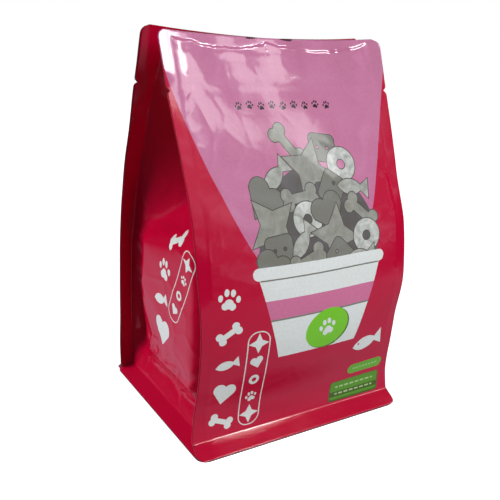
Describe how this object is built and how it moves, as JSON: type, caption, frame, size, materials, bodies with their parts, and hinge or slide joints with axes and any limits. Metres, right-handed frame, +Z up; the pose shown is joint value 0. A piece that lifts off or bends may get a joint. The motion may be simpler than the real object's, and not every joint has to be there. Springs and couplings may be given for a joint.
{
  "type": "flat bottom pet food bag",
  "caption": "Filled, sealed stand-up pouch of glossy film with a flat base, corner seals, inward-folded side gussets, splayed bottom seals and tear notches.",
  "frame": {"origin": "centre of the base, on the surface the pouch stands on", "axes": "+Z up, the front panel faces -Y, X runs across the front panel"},
  "size_m": [0.14, 0.128, 0.2216],
  "materials": {
    "printed_film": "glossy laminated film"
  },
  "bodies": {
    "root": {"pouch": "printed_film"}
  },
  "joints": []
}
